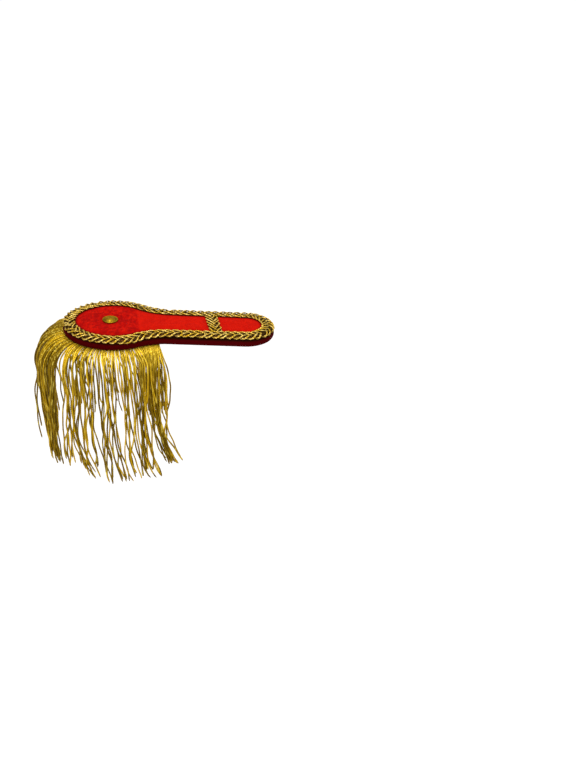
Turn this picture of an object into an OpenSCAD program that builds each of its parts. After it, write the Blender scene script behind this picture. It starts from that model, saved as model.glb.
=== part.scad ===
// Bullion epaulette: a padded velvet board edged with plaited gimp, a button on its round end,
// and a fringe of metal cords that hangs all round that end.
// Millimetres, Z up. The origin is on the board's underside, straight below the button's centre.
// X runs along the strap to its tip, and the side seen from the front faces -Y.

/* [Board] */
// Length of the padded board, from its round end to its tip
board_len = 194; // [180:1:215]
// Width across the round end
round_w = 85; // [78:0.5:92]
// Width across the tip of the strap
strap_w = 53; // [46:0.5:58]
// Angle by which each side of the strap closes towards the tip, in degrees
strap_taper = 0.4; // [0:0.1:1.2]
// Radius of the hollow where the round end runs into the strap
neck_r = 50; // [38:1:62]
// Distance from the button's centre to the widest place of the round end
widest_x = 3; // [0:0.5:8]
// How much larger the radius of the round end's sides is than half its width
side_ease = 5.2; // [3:0.1:8]
// How much smaller the radius at the very end is than half its width
nose_ease = 4.2; // [2:0.1:7]
// Thickness of the padded board
board_h = 9.2; // [8:0.1:12]
// Radius of the padded shoulder along its top edge
shoulder_r = 4.5; // [3.5:0.1:5.5]
// Radius of the turned cloth along its bottom edge
under_r = 1.5; // [0.8:0.1:2.5]

/* [Gimp] */
// Width of the border gimp, measured over the cloth that it lies on
gimp_w = 12.6; // [11.5:0.1:13.5]
// Distance from the board's edge to the gimp's inner edge, seen from above
gimp_in = 11.7; // [11:0.1:12.5]
// Thickness of the gimp at the top of its plait
gimp_t = 2; // [1.4:0.1:2.6]
// Length of one beat of the plait
beat_len = 6.6; // [5.5:0.1:9]
// How far the loops along the edges of the gimp stand in and out
scallop = 0.45; // [0:0.05:0.7]
// How far the border gimp has slipped out over the edge at the front of the round end
front_slip = 1; // [0:0.1:1.6]
// How much narrower it is drawn there
front_pinch = 1.6; // [0:0.1:2.5]
// Width of the gimp laid across the strap
cross_w = 12.6; // [10:0.1:15]
// Distance from the button's centre to the middle of that gimp
cross_x = 95; // [85:1:105]
// Angle by which it lies askew, in degrees
cross_skew = 12; // [0:1:15]

/* [Button] */
// Diameter of the button
button_d = 14.5; // [12:0.5:17]
// Height of its rolled rim
button_rim = 1.5; // [1:0.1:2]
// Height of its face over the rim
button_rise = 0.8; // [0.4:0.1:1.4]

/* [Fringe] */
// Length of the cords from the heading, along their curve
fringe_len = 127; // [105:1:140]
// Number of locks that the cords hang in
lock_count = 36; // [30:1:42]
// Share of its stretch of the heading that a lock fills
lock_fill = 0.92; // [0.8:0.01:0.95]
// Thickness of a lock
lock_t = 3; // [2:0.1:3.6]
// How far the locks stand out at the two long sides
flare_side = 14; // [9:0.5:18]
// How far the locks stand out at the round end
flare_end = 31.5; // [26:0.5:36]
// Angle by which the locks hang towards the strap, in degrees
hang_lean = 6; // [0:0.5:9]
// Where the fringe ends on the front side, measured along the board's edge from the round end
heading_front = 117; // [105:1:120]
// Where it ends on the back side
heading_back = 104; // [96:1:120]
// Width of the tape that heads the fringe
heading_w = 7; // [5:0.5:10]
// Thickness of that tape
heading_t = 1.8; // [1.2:0.1:2.4]
// How far inside the board's edge the tape is sewn
heading_in = 2; // [1:0.1:4]

/* [Post] */
// Diameter of the post that fastens the strap to a shoulder
post_d = 3; // [2:0.1:4]
// Length of the post under its plate
post_len = 10; // [6:0.5:14]
// Diameter of the plate that is sewn to the board
plate_d = 14; // [10:0.5:20]
// Thickness of the plate
plate_t = 1; // [0.8:0.1:1.5]
// Distance from the button's centre to the post
post_x = 94; // [70:1:110]

/* [Clearance] */
// Gap between each piece and the cloth that it is sewn to
seat_gap = 0.3; // [0.25:0.05:0.4]

/* [Hidden] */
$fn = 96;

VELVET = "#b31510";
GIMP = "#bfa657";
BRASS = "#7d640f";
CORD = "#c79a2a";
STEEL = "#8d8a80";

// The board's outline is four arcs and a straight line on each side, each running smoothly into the next
side_r = round_w / 2 + side_ease;
side_c = [widest_x, -side_ease];
nose_r = round_w / 2 - nose_ease;
nose_c = [widest_x - sqrt(pow(side_r - nose_r, 2) - pow(side_ease, 2)), 0];
tip_r = strap_w / 2;
tip_c = [board_len + nose_c[0] - nose_r - tip_r, 0];
across = [sin(strap_taper), cos(strap_taper)];
along = [cos(strap_taper), -sin(strap_taper)];
neck_off = tip_c * across + tip_r + neck_r;
neck_run = sqrt(pow(side_r + neck_r, 2) - pow(neck_off - side_c * across, 2));
neck_c = neck_off * across + (side_c * along + neck_run) * along;

// Directions of the outline's normal where one stretch ends and the next begins, in degrees
nose_turn = atan2(nose_c[1] - side_c[1], nose_c[0] - side_c[0]);
neck_turn = atan2(neck_c[1] - side_c[1], neck_c[0] - side_c[0]);
strap_turn = 90 - strap_taper;

// Lengths of the five stretches of one half, from the round end to the tip
LENGTHS = [
  nose_r * (180 - nose_turn) * PI / 180,
  side_r * (nose_turn - neck_turn) * PI / 180,
  neck_r * (strap_turn - neck_turn) * PI / 180,
  (tip_c - neck_c) * along,
  tip_r * strap_turn * PI / 180
];
function ends_at(k) = k < 0 ? 0 : ends_at(k - 1) + LENGTHS[k];
half_len = ends_at(4);
neck_end = neck_c - neck_r * across;

function unit(a) = [cos(a), sin(a)];
function turned(length, r) = length / r * 180 / PI;

// The place on the outline at a distance from the round end, and the direction that it faces: [place, angle].
// Distances run one way along the back side, and the other way, below zero, along the front side.
function half_station(d) =
  d <= ends_at(0) ? let(a = 180 - turned(d, nose_r)) [nose_c + nose_r * unit(a), a]
  : d <= ends_at(1) ? let(a = nose_turn - turned(d - ends_at(0), side_r)) [side_c + side_r * unit(a), a]
  : d <= ends_at(2) ? let(a = neck_turn + turned(d - ends_at(1), neck_r)) [neck_c - neck_r * unit(a), a]
  : d <= ends_at(3) ? [neck_end + (d - ends_at(2)) * along, strap_turn]
  : let(a = strap_turn - turned(d - ends_at(3), tip_r)) [tip_c + tip_r * unit(a), a];
function station(d) =
  let(s = half_station(abs(d)))
  d >= 0 ? s : [[s[0][0], -s[0][1]], -s[1]];
// The same place moved out from the edge, or in where out is below zero
function beside(d, out) = let(s = station(d)) s[0] + out * unit(s[1]);

// Faces of a skin over rings of points, round and round, each ring with the same number of sides
function skin(rings, sides, looped) = [
  for (i = [0 : rings - (looped ? 1 : 2)], j = [0 : sides - 1], half = [0, 1])
    let(
      next_ring = (i + 1) % rings * sides,
      next_side = (j + 1) % sides,
      a = i * sides + j,
      b = next_ring + j,
      c = next_ring + next_side,
      d = i * sides + next_side
    )
    half == 0 ? [a, b, c] : [a, c, d]
];
function ends(rings, sides) = [
  [for (j = [0 : sides - 1]) j],
  [for (j = [sides - 1 : -1 : 0]) (rings - 1) * sides + j]
];

// Board

// Section through the padded edge, from the underside up over the shoulder,
// as distances out from the board's edge and heights
UNDER_STEPS = 3;
SHOULDER_STEPS = 4;
edge_section = concat(
  [for (i = [0 : UNDER_STEPS]) under_r * (unit(90 * i / UNDER_STEPS - 90) + [-1, 1])],
  [for (i = [0 : SHOULDER_STEPS]) [0, board_h] + shoulder_r * (unit(90 * i / SHOULDER_STEPS) - [1, 1])]
);

// Places round the edge, with the number of steps in each of its stretches from the round end to the tip
STRETCH_STEPS = [4, 12, 5, 1, 10];
half_stops = [
  for (k = [0 : 4], i = [0 : STRETCH_STEPS[k] - 1])
    ends_at(k - 1) + LENGTHS[k] * i / STRETCH_STEPS[k]
];
stop_count = len(half_stops);
stops = concat([-half_len], [for (i = [stop_count - 1 : -1 : 1]) -half_stops[i]], half_stops);

// One level of the skin between two points of the section, all round
function level(j, sides) = [
  for (i = [0 : 2 * stop_count - 1], half = [0, 1])
    let(a = i * sides + j, b = (i + 1) % (2 * stop_count) * sides + j)
    half == 0 ? [a, b, b + 1] : [a, b + 1, a + 1]
];
// The flat top or underside, as rungs between the front side and the back side
function flat(j, sides, up) = [
  for (i = [0 : stop_count - 1], half = [0, 1])
    let(
      front = i * sides + j,
      next_front = (i + 1) * sides + j,
      back = (2 * stop_count - i) % (2 * stop_count) * sides + j,
      next_back = (2 * stop_count - i - 1) * sides + j,
      rung = half == 0 ? [front, next_front, next_back] : [front, next_back, back]
    )
    if (i > 0 || half == 0)
    if (i < stop_count - 1 || half == 1)
    up ? rung : [rung[0], rung[2], rung[1]]
];

module velvet_board() {
  sides = len(edge_section);
  points = [for (d = stops, p = edge_section) let(at = beside(d, p[0])) [at[0], at[1], p[1]]];
  faces = concat(
    [for (j = [0 : sides - 2]) each level(j, sides)],
    flat(0, sides, false),
    flat(sides - 1, sides, true)
  );
  color(VELVET) polyhedron(points, faces);
}

// Gimp

// Top of the gimp's section, from its outer edge to its inner edge. The columns are the share of its width,
// the share of its thickness, how far that share rises and falls with the plait, and the beat's lag in turns.
ACROSS = 0;
RISE = 1;
SWAY = 2;
LAG = 3;
GIMP_TOP = [
  [1.00, 0.42, 0.00, 0.0],
  [0.76, 0.88, 0.12, 0.0],
  [0.50, 0.68, 0.08, 0.25],
  [0.24, 0.88, 0.12, 0.5],
  [0.00, 0.42, 0.00, 0.5]
];
STEPS_A_BEAT = 4;

// How far a row of the table is pushed out over its edge by the loops at this beat
function loop_push(row, beat) =
  let(side = row[ACROSS] == 1 ? 1 : row[ACROSS] == 0 ? -1 : 0)
  side * scallop * cos(360 * (beat + row[LAG]));
function lift(row, beat) = seat_gap + gimp_t * (row[RISE] + row[SWAY] * cos(360 * (beat + row[LAG])));

// A point of the border gimp, w along the cloth from the inner edge's own place and h over the cloth,
// as its distance out from the board's edge and its height
border_flat = gimp_in - shoulder_r;
border_bent = border_flat + shoulder_r * PI / 2;
function lay(w, h) =
  w <= border_flat ? [w - gimp_in, board_h + h]
  : w <= border_bent ? [-shoulder_r, board_h - shoulder_r] + (shoulder_r + h) * unit(90 - turned(w - border_flat, shoulder_r))
  : [h, board_h - shoulder_r - (w - border_bent)];

// The slip and the narrowing are greatest at the foremost place of the round end, and fade out to both sides
slip_at = -ends_at(0) - side_r * (nose_turn - 90) * PI / 180;
slip_span = 45;
function fade(d) = abs(d - slip_at) < slip_span ? (1 + cos(180 * (d - slip_at) / slip_span)) / 2 : 0;
function across_at(share, d) = front_slip * fade(d) + gimp_w - (1 - share) * (gimp_w - front_pinch * fade(d));

UNDER_BENDS = 3;
function border_ring(d, beat) = let(outer = across_at(1, d)) concat(
  [lay(across_at(0, d), seat_gap)],
  [for (k = [0 : UNDER_BENDS]) lay(border_flat + (outer - border_flat) * k / UNDER_BENDS, seat_gap)],
  [for (row = GIMP_TOP) lay(across_at(row[ACROSS], d) + loop_push(row, beat), lift(row, beat))]
);

border_beats = round(2 * half_len / beat_len);
border_rings = border_beats * STEPS_A_BEAT;
border_sides = UNDER_BENDS + 2 + len(GIMP_TOP);

module border_gimp() {
  points = [
    for (i = [0 : border_rings - 1])
      let(d = (2 * i / border_rings - 1) * half_len)
      for (p = border_ring(d, i / STEPS_A_BEAT))
        let(at = beside(d, p[0]))
        [at[0], at[1], p[1]]
  ];
  color(GIMP) polyhedron(points, skin(border_rings, border_sides, true));
}

// The gimp across the strap ends just short of the border on both sides
cross_half = tip_r + (tip_c[0] - cross_x) * sin(strap_taper) - gimp_in - scallop - seat_gap;
cross_beats = round(2 * cross_half / beat_len);
cross_rings = cross_beats * STEPS_A_BEAT + 1;
function cross_ring(beat) = concat(
  [[-cross_w / 2, seat_gap], [cross_w / 2, seat_gap]],
  [for (row = GIMP_TOP) [(row[ACROSS] - 0.5) * cross_w + loop_push(row, beat), lift(row, beat)]]
);
cross_sides = 2 + len(GIMP_TOP);

module cross_gimp() {
  points = [
    for (i = [0 : cross_rings - 1])
      let(y = (1 - 2 * i / (cross_rings - 1)) * cross_half)
      for (p = cross_ring(i / STEPS_A_BEAT))
        [cross_x - y * tan(cross_skew) + p[0], y, board_h + p[1]]
  ];
  faces = concat(skin(cross_rings, cross_sides, false), ends(cross_rings, cross_sides));
  color(GIMP) polyhedron(points, faces);
}

// Button

// The face is a low cap of a large ball, inside a rolled rim
module button() {
  r = button_d / 2;
  roll = button_rim / 2;
  face_r = r - roll;
  ball_r = (pow(face_r, 2) + pow(button_rise, 2)) / (2 * button_rise);
  color(BRASS) translate([0, 0, board_h + seat_gap]) rotate_extrude() {
    square([face_r, button_rim]);
    translate([face_r, roll]) circle(roll);
    intersection() {
      translate([0, button_rim + button_rise - ball_r]) circle(ball_r);
      translate([0, roll]) square([face_r, button_rim + button_rise]);
    }
  }
}

// Fringe

// The cords leave the tape flat under the board, spread as they bend down over a quarter turn, and hang.
// Rings of a lock beyond the tape, with as columns the share of the bend, the share of the hanging length,
// and the shares of the lock's width and thickness there.
BEND = 0;
HANG = 1;
WIDE = 2;
THICK = 3;
LOCK_RINGS = [
  [0.33, 0.00, 1.00, 0.90],
  [0.67, 0.00, 1.00, 1.00],
  [1.00, 0.00, 0.98, 1.00],
  [1.00, 0.50, 0.84, 0.95],
  [1.00, 0.92, 0.66, 0.70],
  [1.00, 1.00, 0.44, 0.35]
];
// Differences from lock to lock, taken in turn along the heading: the share of the flare, the share of the
// length, and how far the lower end drifts towards its neighbour, as a share of the lock's own room
FLARE = 0;
LONG = 1;
DRIFT = 2;
LOCK_FORMS = [
  [1.00, 1.00, 0.18],
  [0.94, 0.96, -0.15],
  [1.04, 1.02, 0.10],
  [0.97, 0.99, -0.20],
  [1.02, 0.95, 0.18],
  [0.93, 1.03, 0.00],
  [1.03, 0.97, -0.14],
  [0.98, 1.01, 0.15]
];

heading_len = heading_front + heading_back;
heading_z = -seat_gap - heading_t / 2;
function lock_at(i) = (i + 0.5) / lock_count * heading_len - heading_front;
function flare_at(angle) = flare_side + (flare_end - flare_side) * max(0, -cos(angle));

// The six corners of each ring, in turn: which of the lock's two borders they lie towards, and their level
CORNERS = [[0, 0], [0, 1], [1, 1], [1, 0], [1, -1], [0, -1]];
corner_count = len(CORNERS);
LEVELS = [-1, 0, 1];
TAPE_RINGS = [-heading_in - heading_w, -heading_in];
border_points = len(TAPE_RINGS) * len(LEVELS);
lock_points = len(LOCK_RINGS) * corner_count;
ring_count = len(TAPE_RINGS) + len(LOCK_RINGS);

// One ring of a lock, across the way that the lock runs there
function lock_ring(i, row) = let(
    form = LOCK_FORMS[i % len(LOCK_FORMS)],
    s = station(lock_at(i)),
    out_dir = unit(s[1]),
    side_dir = unit(s[1] + 90),
    flare = flare_at(s[1]) * form[FLARE],
    hang = fringe_len * form[LONG] - flare * PI / 2,
    turn = 90 * row[BEND],
    out = flare * sin(turn) - heading_in,
    down = flare * (1 - cos(turn)) + hang * row[HANG],
    room = norm(beside(lock_at(i + 0.5), out) - beside(lock_at(i - 0.5), out)),
    drift = form[DRIFT] * room * row[HANG],
    middle = s[0] + out * out_dir + drift * side_dir + [down * tan(hang_lean), 0]
  )
  [
    for (k = [0 : corner_count - 1])
      let(
        a = k * 360 / corner_count,
        wide = cos(a) * lock_fill * room / 2 * row[WIDE],
        thick = sin(a) * lock_t / 2 * row[THICK],
        at = middle + wide * side_dir + thick * sin(turn) * out_dir
      )
      [at[0], at[1], heading_z - down + thick * cos(turn)]
  ];

// Number of a corner's point. Neighbouring locks share the points of the tape between them.
function corner(i, ring, k) =
  let(c = CORNERS[k % corner_count])
  ring < len(TAPE_RINGS)
  ? (i + c[0]) * border_points + ring * len(LEVELS) + c[1] + 1
  : (lock_count + 1) * border_points + i * lock_points + (ring - len(TAPE_RINGS)) * corner_count + k % corner_count;

// Inside the tape a lock has no sides, except at the tape's two ends
function is_open(i, ring, k) =
  let(border = CORNERS[k][0], next_border = CORNERS[(k + 1) % corner_count][0])
  ring > 0 || border != next_border || i + border == 0 || i + border == lock_count;

module cord_fringe() {
  points = concat(
    [
      for (i = [0 : lock_count], out = TAPE_RINGS, level = LEVELS)
        let(at = beside(lock_at(i - 0.5), out))
        [at[0], at[1], heading_z + level * heading_t / 2]
    ],
    [for (i = [0 : lock_count - 1], row = LOCK_RINGS) each lock_ring(i, row)]
  );
  skins = [
    for (i = [0 : lock_count - 1], ring = [0 : ring_count - 2], k = [0 : corner_count - 1])
      if (is_open(i, ring, k))
      each [
        [corner(i, ring, k), corner(i, ring + 1, k), corner(i, ring + 1, k + 1)],
        [corner(i, ring, k), corner(i, ring + 1, k + 1), corner(i, ring, k + 1)]
      ]
  ];
  backs = [for (i = [0 : lock_count - 1]) [for (k = [0 : corner_count - 1]) corner(i, 0, k)]];
  tips = [for (i = [0 : lock_count - 1]) [for (k = [corner_count - 1 : -1 : 0]) corner(i, ring_count - 1, k)]];
  color(CORD) polyhedron(points, concat(skins, backs, tips));
}

// Post

module shoulder_post() {
  color(STEEL) translate([post_x, 0, -seat_gap]) rotate([180, 0, 0]) {
    cylinder(d = plate_d, h = plate_t);
    cylinder(d = post_d, h = plate_t + post_len);
    translate([0, 0, plate_t + post_len]) sphere(d = post_d);
  }
}

velvet_board();
border_gimp();
cross_gimp();
button();
cord_fringe();
shoulder_post();
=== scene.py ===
import math

import bpy
import numpy as np
from mathutils import Matrix, Vector
from mathutils.geometry import delaunay_2d_cdt


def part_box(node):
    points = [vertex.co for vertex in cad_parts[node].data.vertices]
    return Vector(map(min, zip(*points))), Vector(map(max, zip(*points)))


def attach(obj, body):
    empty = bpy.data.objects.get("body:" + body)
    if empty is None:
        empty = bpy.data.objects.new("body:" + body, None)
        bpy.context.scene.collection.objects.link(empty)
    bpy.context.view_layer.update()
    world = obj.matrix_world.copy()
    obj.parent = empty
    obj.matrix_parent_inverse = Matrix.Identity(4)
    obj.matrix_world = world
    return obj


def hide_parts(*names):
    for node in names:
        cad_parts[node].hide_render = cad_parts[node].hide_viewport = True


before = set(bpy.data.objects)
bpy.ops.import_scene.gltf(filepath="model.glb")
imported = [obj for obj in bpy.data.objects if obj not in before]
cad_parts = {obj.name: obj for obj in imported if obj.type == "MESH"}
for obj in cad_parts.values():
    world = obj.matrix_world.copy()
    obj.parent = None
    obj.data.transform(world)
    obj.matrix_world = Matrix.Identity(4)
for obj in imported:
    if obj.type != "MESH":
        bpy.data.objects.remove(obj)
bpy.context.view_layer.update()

# ---- Velvet board ----
# A keyhole-shaped board of stiffened padding, wrapped in one piece of red cotton velvet that turns over
# the shoulder and down the side. The nap of its round end lies another way than that of its strap.
MM = 0.001
board_high = np.array(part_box("velvet_board")[1]) / MM
board_h = board_high[2]
round_half = board_high[1]
strap_half = 26.5
strap_taper = math.radians(0.4)
neck_r = 50.0
widest_x = 3.0
side_ease = 5.2
nose_ease = 4.2
shoulder_r = 4.5
under_r = 1.5

# The edge is four arcs and a straight line on each side, each running smoothly into the next
side_r = round_half + side_ease
side_c = np.array([widest_x, -side_ease])
nose_r = round_half - nose_ease
nose_c = np.array([widest_x - math.sqrt((side_r - nose_r) ** 2 - side_ease ** 2), 0])
tip_c = np.array([board_high[0] - strap_half, 0])
across = np.array([math.sin(strap_taper), math.cos(strap_taper)])
along = np.array([math.cos(strap_taper), -math.sin(strap_taper)])
neck_off = tip_c @ across + strap_half + neck_r
neck_run = math.sqrt((side_r + neck_r) ** 2 - (neck_off - side_c @ across) ** 2)
neck_c = neck_off * across + (side_c @ along + neck_run) * along
nose_turn = math.atan2(-side_c[1], nose_c[0] - side_c[0])
neck_turn = math.atan2(neck_c[1] - side_c[1], neck_c[0] - side_c[0])
strap_turn = math.pi / 2 - strap_taper
stretch_ends = np.cumsum([
    nose_r * (math.pi - nose_turn),
    side_r * (nose_turn - neck_turn),
    neck_r * (strap_turn - neck_turn),
    (tip_c - neck_c) @ along,
    strap_half * strap_turn,
])
half_edge = stretch_ends[-1]


def edge_at(d):
    """Places on the board's edge, and the angles they face, d along it from the round end: the back side
    above 0 and the front side below."""
    d = np.asarray(d, float)
    run = np.abs((d + half_edge) % (2 * half_edge) - half_edge)
    e = stretch_ends
    stretches = [
        (run <= e[0], nose_c, nose_r, math.pi - run / nose_r),
        (run <= e[1], side_c, side_r, nose_turn - (run - e[0]) / side_r),
        (run <= e[2], neck_c, -neck_r, neck_turn + (run - e[1]) / neck_r),
        (run <= e[3], None, 0, np.full_like(run, strap_turn)),
        (run > e[3], tip_c, strap_half, strap_turn - (run - e[3]) / strap_half),
    ]
    angle = np.select([s[0] for s in stretches], [s[3] for s in stretches])
    neck_end = neck_c - neck_r * across
    places = [
        neck_end + (run - e[2])[..., None] * along if centre is None
        else centre + radius * np.stack([np.cos(turn), np.sin(turn)], -1)
        for _, centre, radius, turn in stretches
    ]
    place = np.select([s[0][..., None] for s in stretches], places)
    back = (d + half_edge) % (2 * half_edge) >= half_edge
    side = np.where(back, 1.0, -1.0)
    return place * np.stack([np.ones_like(side), side], -1), angle * side


def facing(angle):
    return np.stack([np.cos(angle), np.sin(angle)], -1)


def ripple(points, size, seed):
    """Soft random unevenness from about -1 to 1, in waves about as long as size."""
    random = np.random.default_rng(seed)
    waves = 8
    total = 0
    for _ in range(waves):
        way = random.normal(size=points.shape[-1])
        way *= 2 * math.pi / (size * random.uniform(0.7, 1.6)) / np.linalg.norm(way)
        total = total + np.sin(points @ way + random.uniform(0, 2 * math.pi))
    return total / (waves / 2)


def ease(x, low, high):
    """0 below low, 1 above high, and a smooth rise between."""
    t = np.clip((x - low) / (high - low), 0, 1)
    return t * t * (3 - 2 * t)


def build(name, points, faces, facts=None, uv=None):
    """An object from points in millimetres. faces are lists or rows of point numbers, facts are named
    numbers kept at each point, and uv is one pair for each corner of each face."""
    mesh = bpy.data.meshes.new(name)
    sizes = np.array([len(f) for f in faces]) if isinstance(faces, list) else np.full(
        len(faces), faces.shape[1])
    corners = np.concatenate(faces) if isinstance(faces, list) else faces.ravel()
    mesh.vertices.add(len(points))
    mesh.vertices.foreach_set("co", (np.asarray(points) * MM).astype(np.float32).ravel())
    mesh.loops.add(len(corners))
    mesh.loops.foreach_set("vertex_index", corners.astype(np.int32))
    mesh.polygons.add(len(sizes))
    mesh.polygons.foreach_set("loop_start", np.concatenate([[0], np.cumsum(sizes)[:-1]]).astype(np.int32))
    for key, values in (facts or {}).items():
        kept = mesh.attributes.new(key, "FLOAT", "POINT")
        kept.data.foreach_set("value", np.asarray(values, np.float32).ravel())
    if uv is not None:
        mesh.uv_layers.new(name="run").data.foreach_set("uv", uv.astype(np.float32).ravel())
    mesh.update(calc_edges=True)
    mesh.validate()
    mesh.shade_smooth()
    made = bpy.data.objects.new(name, mesh)
    bpy.context.scene.collection.objects.link(made)
    return made


def new_finish(name, **shader):
    """A material, the way to add nodes to it, and its shader node."""
    finish = bpy.data.materials.new(name)
    finish.use_nodes = True
    tree = finish.node_tree
    main = tree.nodes["Principled BSDF"]

    def put(node, inputs):
        for socket, value in inputs.items():
            if isinstance(value, bpy.types.NodeSocket):
                tree.links.new(value, node.inputs[socket])
            else:
                node.inputs[socket].default_value = value
        return node

    def add(kind, inputs, output=0, **settings):
        node = tree.nodes.new("ShaderNode" + kind)
        for key, value in settings.items():
            setattr(node, key, value)
        return put(node, inputs).outputs[output]

    put(main, {key.replace("_", " ").title().replace("Ior", "IOR"): value for key, value in shader.items()})
    return finish, add, lambda inputs: put(main, inputs)


def blend_of(add, share, first, second):
    """A colour between two others."""
    return add("Mix", {0: share, 6: first, 7: second}, output=2, data_type="RGBA")


def band(add, value, low, high, to_low=0.0, to_high=1.0):
    """value's rise from low to high, as a number from to_low to to_high."""
    return add("MapRange", {0: value, 1: low, 2: high, 3: to_low, 4: to_high},
               interpolation_type="SMOOTHSTEP")


def up_to(add, most, value):
    """value's rise from 0 to 1, as a number from 0 to most."""
    return band(add, value, 0.0, 1.0, 0.0, most)


def fact(add, name):
    """A number that build kept at each point."""
    return add("Attribute", {}, output="Fac", attribute_name=name)


# Skin of the edge, ring by ring, from under the board, round its lower edge, up the wall and over the
# shoulder. Each ring is a distance out from the edge and a height.
velvet_step = 1.5
velvet_inset = 11.0
ring_size = round(2 * half_edge / velvet_step)
ring_d = (np.arange(ring_size) / ring_size * 2 - 1) * half_edge
wall_bow = 0.25
pucker_depth, bulge_depth = 0.18, 0.12
profile = np.concatenate([
    [[-velvet_inset, 0], [-8, 0], [-5, 0], [-3, 0]],
    [under_r * np.array([math.sin(a) - 1, 1 - math.cos(a)]) for a in np.linspace(0, math.pi / 2, 5)],
    [[wall_bow * math.sin(math.pi * t), under_r + t * (board_h - shoulder_r - under_r)]
     for t in np.linspace(0, 1, 5)[1:]],
    [[shoulder_r * (math.cos(a) - 1), board_h + shoulder_r * (math.sin(a) - 1)]
     for a in np.linspace(0, math.pi / 2, 8)[1:]],
    [[-inset, board_h] for inset in (6.0, 7.5, 9.0, 10.0)],
    [[-velvet_inset, board_h]],
])
place, angle = edge_at(ring_d)
out_dir = facing(angle)
skin_xy = place[None] + profile[:, None, :1] * out_dir[None]
skin_z = np.repeat(profile[:, 1], ring_size).reshape(len(profile), ring_size)
skin = np.concatenate([skin_xy, skin_z[..., None]], -1)
# The cloth puckers a little where it is drawn under
pucker = ease(-profile[:, 0], 0, 3) * (profile[:, 1] < under_r)
skin[..., 2] += (pucker_depth * pucker[:, None]) * ripple(ring_d[:, None], 5, 3)
bulge = ease(profile[:, 1], 0, under_r) * (1 - ease(profile[:, 1], board_h - 2, board_h))
skin[..., :2] += (bulge_depth * bulge[:, None] * ripple(ring_d[:, None], 14, 4))[..., None] * out_dir[None]
levels = len(profile)
index = np.arange(levels * ring_size).reshape(levels, ring_size)
after = np.roll(index, -1, axis=1)
skin_faces = np.stack([index[:-1], index[1:], after[1:], after[:-1]], -1).reshape(-1, 4)


def fill_inside(rim, spacing):
    """Points spread evenly inside a closed rim, and the triangles that join them all to it."""
    low, high = rim.min(0), rim.max(0)
    rows = []
    for k, y in enumerate(np.arange(low[1], high[1], spacing * math.sqrt(3) / 2)):
        x = np.arange(low[0] + (k % 2) * spacing / 2, high[0], spacing)
        rows.append(np.stack([x, np.full_like(x, y)], -1))
    inner = np.concatenate(rows)
    near = np.sqrt(((inner[:, None] - rim[None]) ** 2).sum(-1)).min(1)
    ahead = np.roll(rim, -1, axis=0)
    y = inner[:, 1, None]
    crossing = (rim[None, :, 1] > y) != (ahead[None, :, 1] > y)
    slope = (ahead[:, 0] - rim[:, 0]) / np.where(ahead[:, 1] == rim[:, 1], 1, ahead[:, 1] - rim[:, 1])
    at = rim[None, :, 0] + (y - rim[None, :, 1]) * slope[None]
    inside = (crossing & (inner[:, 0, None] < at)).sum(1) % 2 == 1
    # None so near the rim that they would make slivers
    points = np.concatenate([rim, inner[inside & (near > spacing * 0.7)]])
    edges = [(i, (i + 1) % len(rim)) for i in range(len(rim))]
    joined = delaunay_2d_cdt([Vector(p) for p in points], edges, [], 1, 1e-5)
    return points, np.array([list(f) for f in joined[2] if len(f) == 3])


top_spacing, under_spacing = 1.2, 2.6
top_xy, top_tris = fill_inside(skin[-1, :, :2], top_spacing)
under_xy, under_tris = fill_inside(skin[0, :, :2], under_spacing)


def upward(points, tris, sign):
    """The triangles, turned so that they face up or down."""
    a, b, c = (points[tris[:, k]] for k in range(3))
    turn = (b[:, 0] - a[:, 0]) * (c[:, 1] - a[:, 1]) - (b[:, 1] - a[:, 1]) * (c[:, 0] - a[:, 0])
    return np.where((turn * sign > 0)[:, None], tris, tris[:, ::-1])


# The padding swells inside the gimp, and is drawn down at the button and under the gimp across the strap
button_r = 7.25
cross_x = 95.0
cross_half_w = 6.3
cross_skew = math.tan(math.radians(12))
swell = 0.9
swell_from, swell_full = 10.5, 19.0
dip_round_button, dip_round_cross = 5.0, 4.0
lumps, small_lumps, under_lumps = 0.16, 0.07, 0.05


def padding_over(xy):
    """How far the velvet's top stands over its own edge, and how far in from the edge each place is."""
    edge_points = edge_at(np.linspace(-half_edge, half_edge, 500))[0]
    deep = np.sqrt(((xy[:, None] - edge_points[None]) ** 2).sum(-1)).min(1)
    rise = swell * ease(deep, swell_from, swell_full)
    from_button = np.hypot(xy[:, 0], xy[:, 1])
    rise *= ease(from_button, button_r - 2, button_r + dip_round_button)
    from_cross = np.abs(xy[:, 0] + xy[:, 1] * cross_skew - cross_x)
    rise *= ease(from_cross, cross_half_w - 1, cross_half_w + dip_round_cross)
    inner = ease(deep, velvet_inset, velvet_inset + 3)
    return rise + inner * (lumps * ripple(xy, 13, 5) + small_lumps * ripple(xy, 4.5, 6)), deep


def filled(xy, z):
    return np.concatenate([xy, np.broadcast_to(z, len(xy))[:, None]], -1)


top_rise, top_deep = padding_over(top_xy[ring_size:])
top_points = filled(top_xy[ring_size:], board_h + top_rise)
under_points = filled(under_xy[ring_size:], under_lumps * ripple(under_xy[ring_size:], 20, 7))
skin_points = skin.reshape(-1, 3)
top_number = np.concatenate([index[-1], len(skin_points) + np.arange(len(top_points))])
under_number = np.concatenate([
    index[0], len(skin_points) + len(top_points) + np.arange(len(under_points))])
all_points = np.concatenate([skin_points, top_points, under_points])
board_faces = [*skin_faces, *top_number[upward(top_xy, top_tris, 1)],
               *under_number[upward(under_xy, under_tris, -1)]]
# 1 on the wall and underside, where the nap is brushed down and the cloth is painted dark as shade from the
# light above, and 0 on top
turned = 1 - ease(all_points[:, 2], board_h - shoulder_r, board_h - 0.3)
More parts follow.
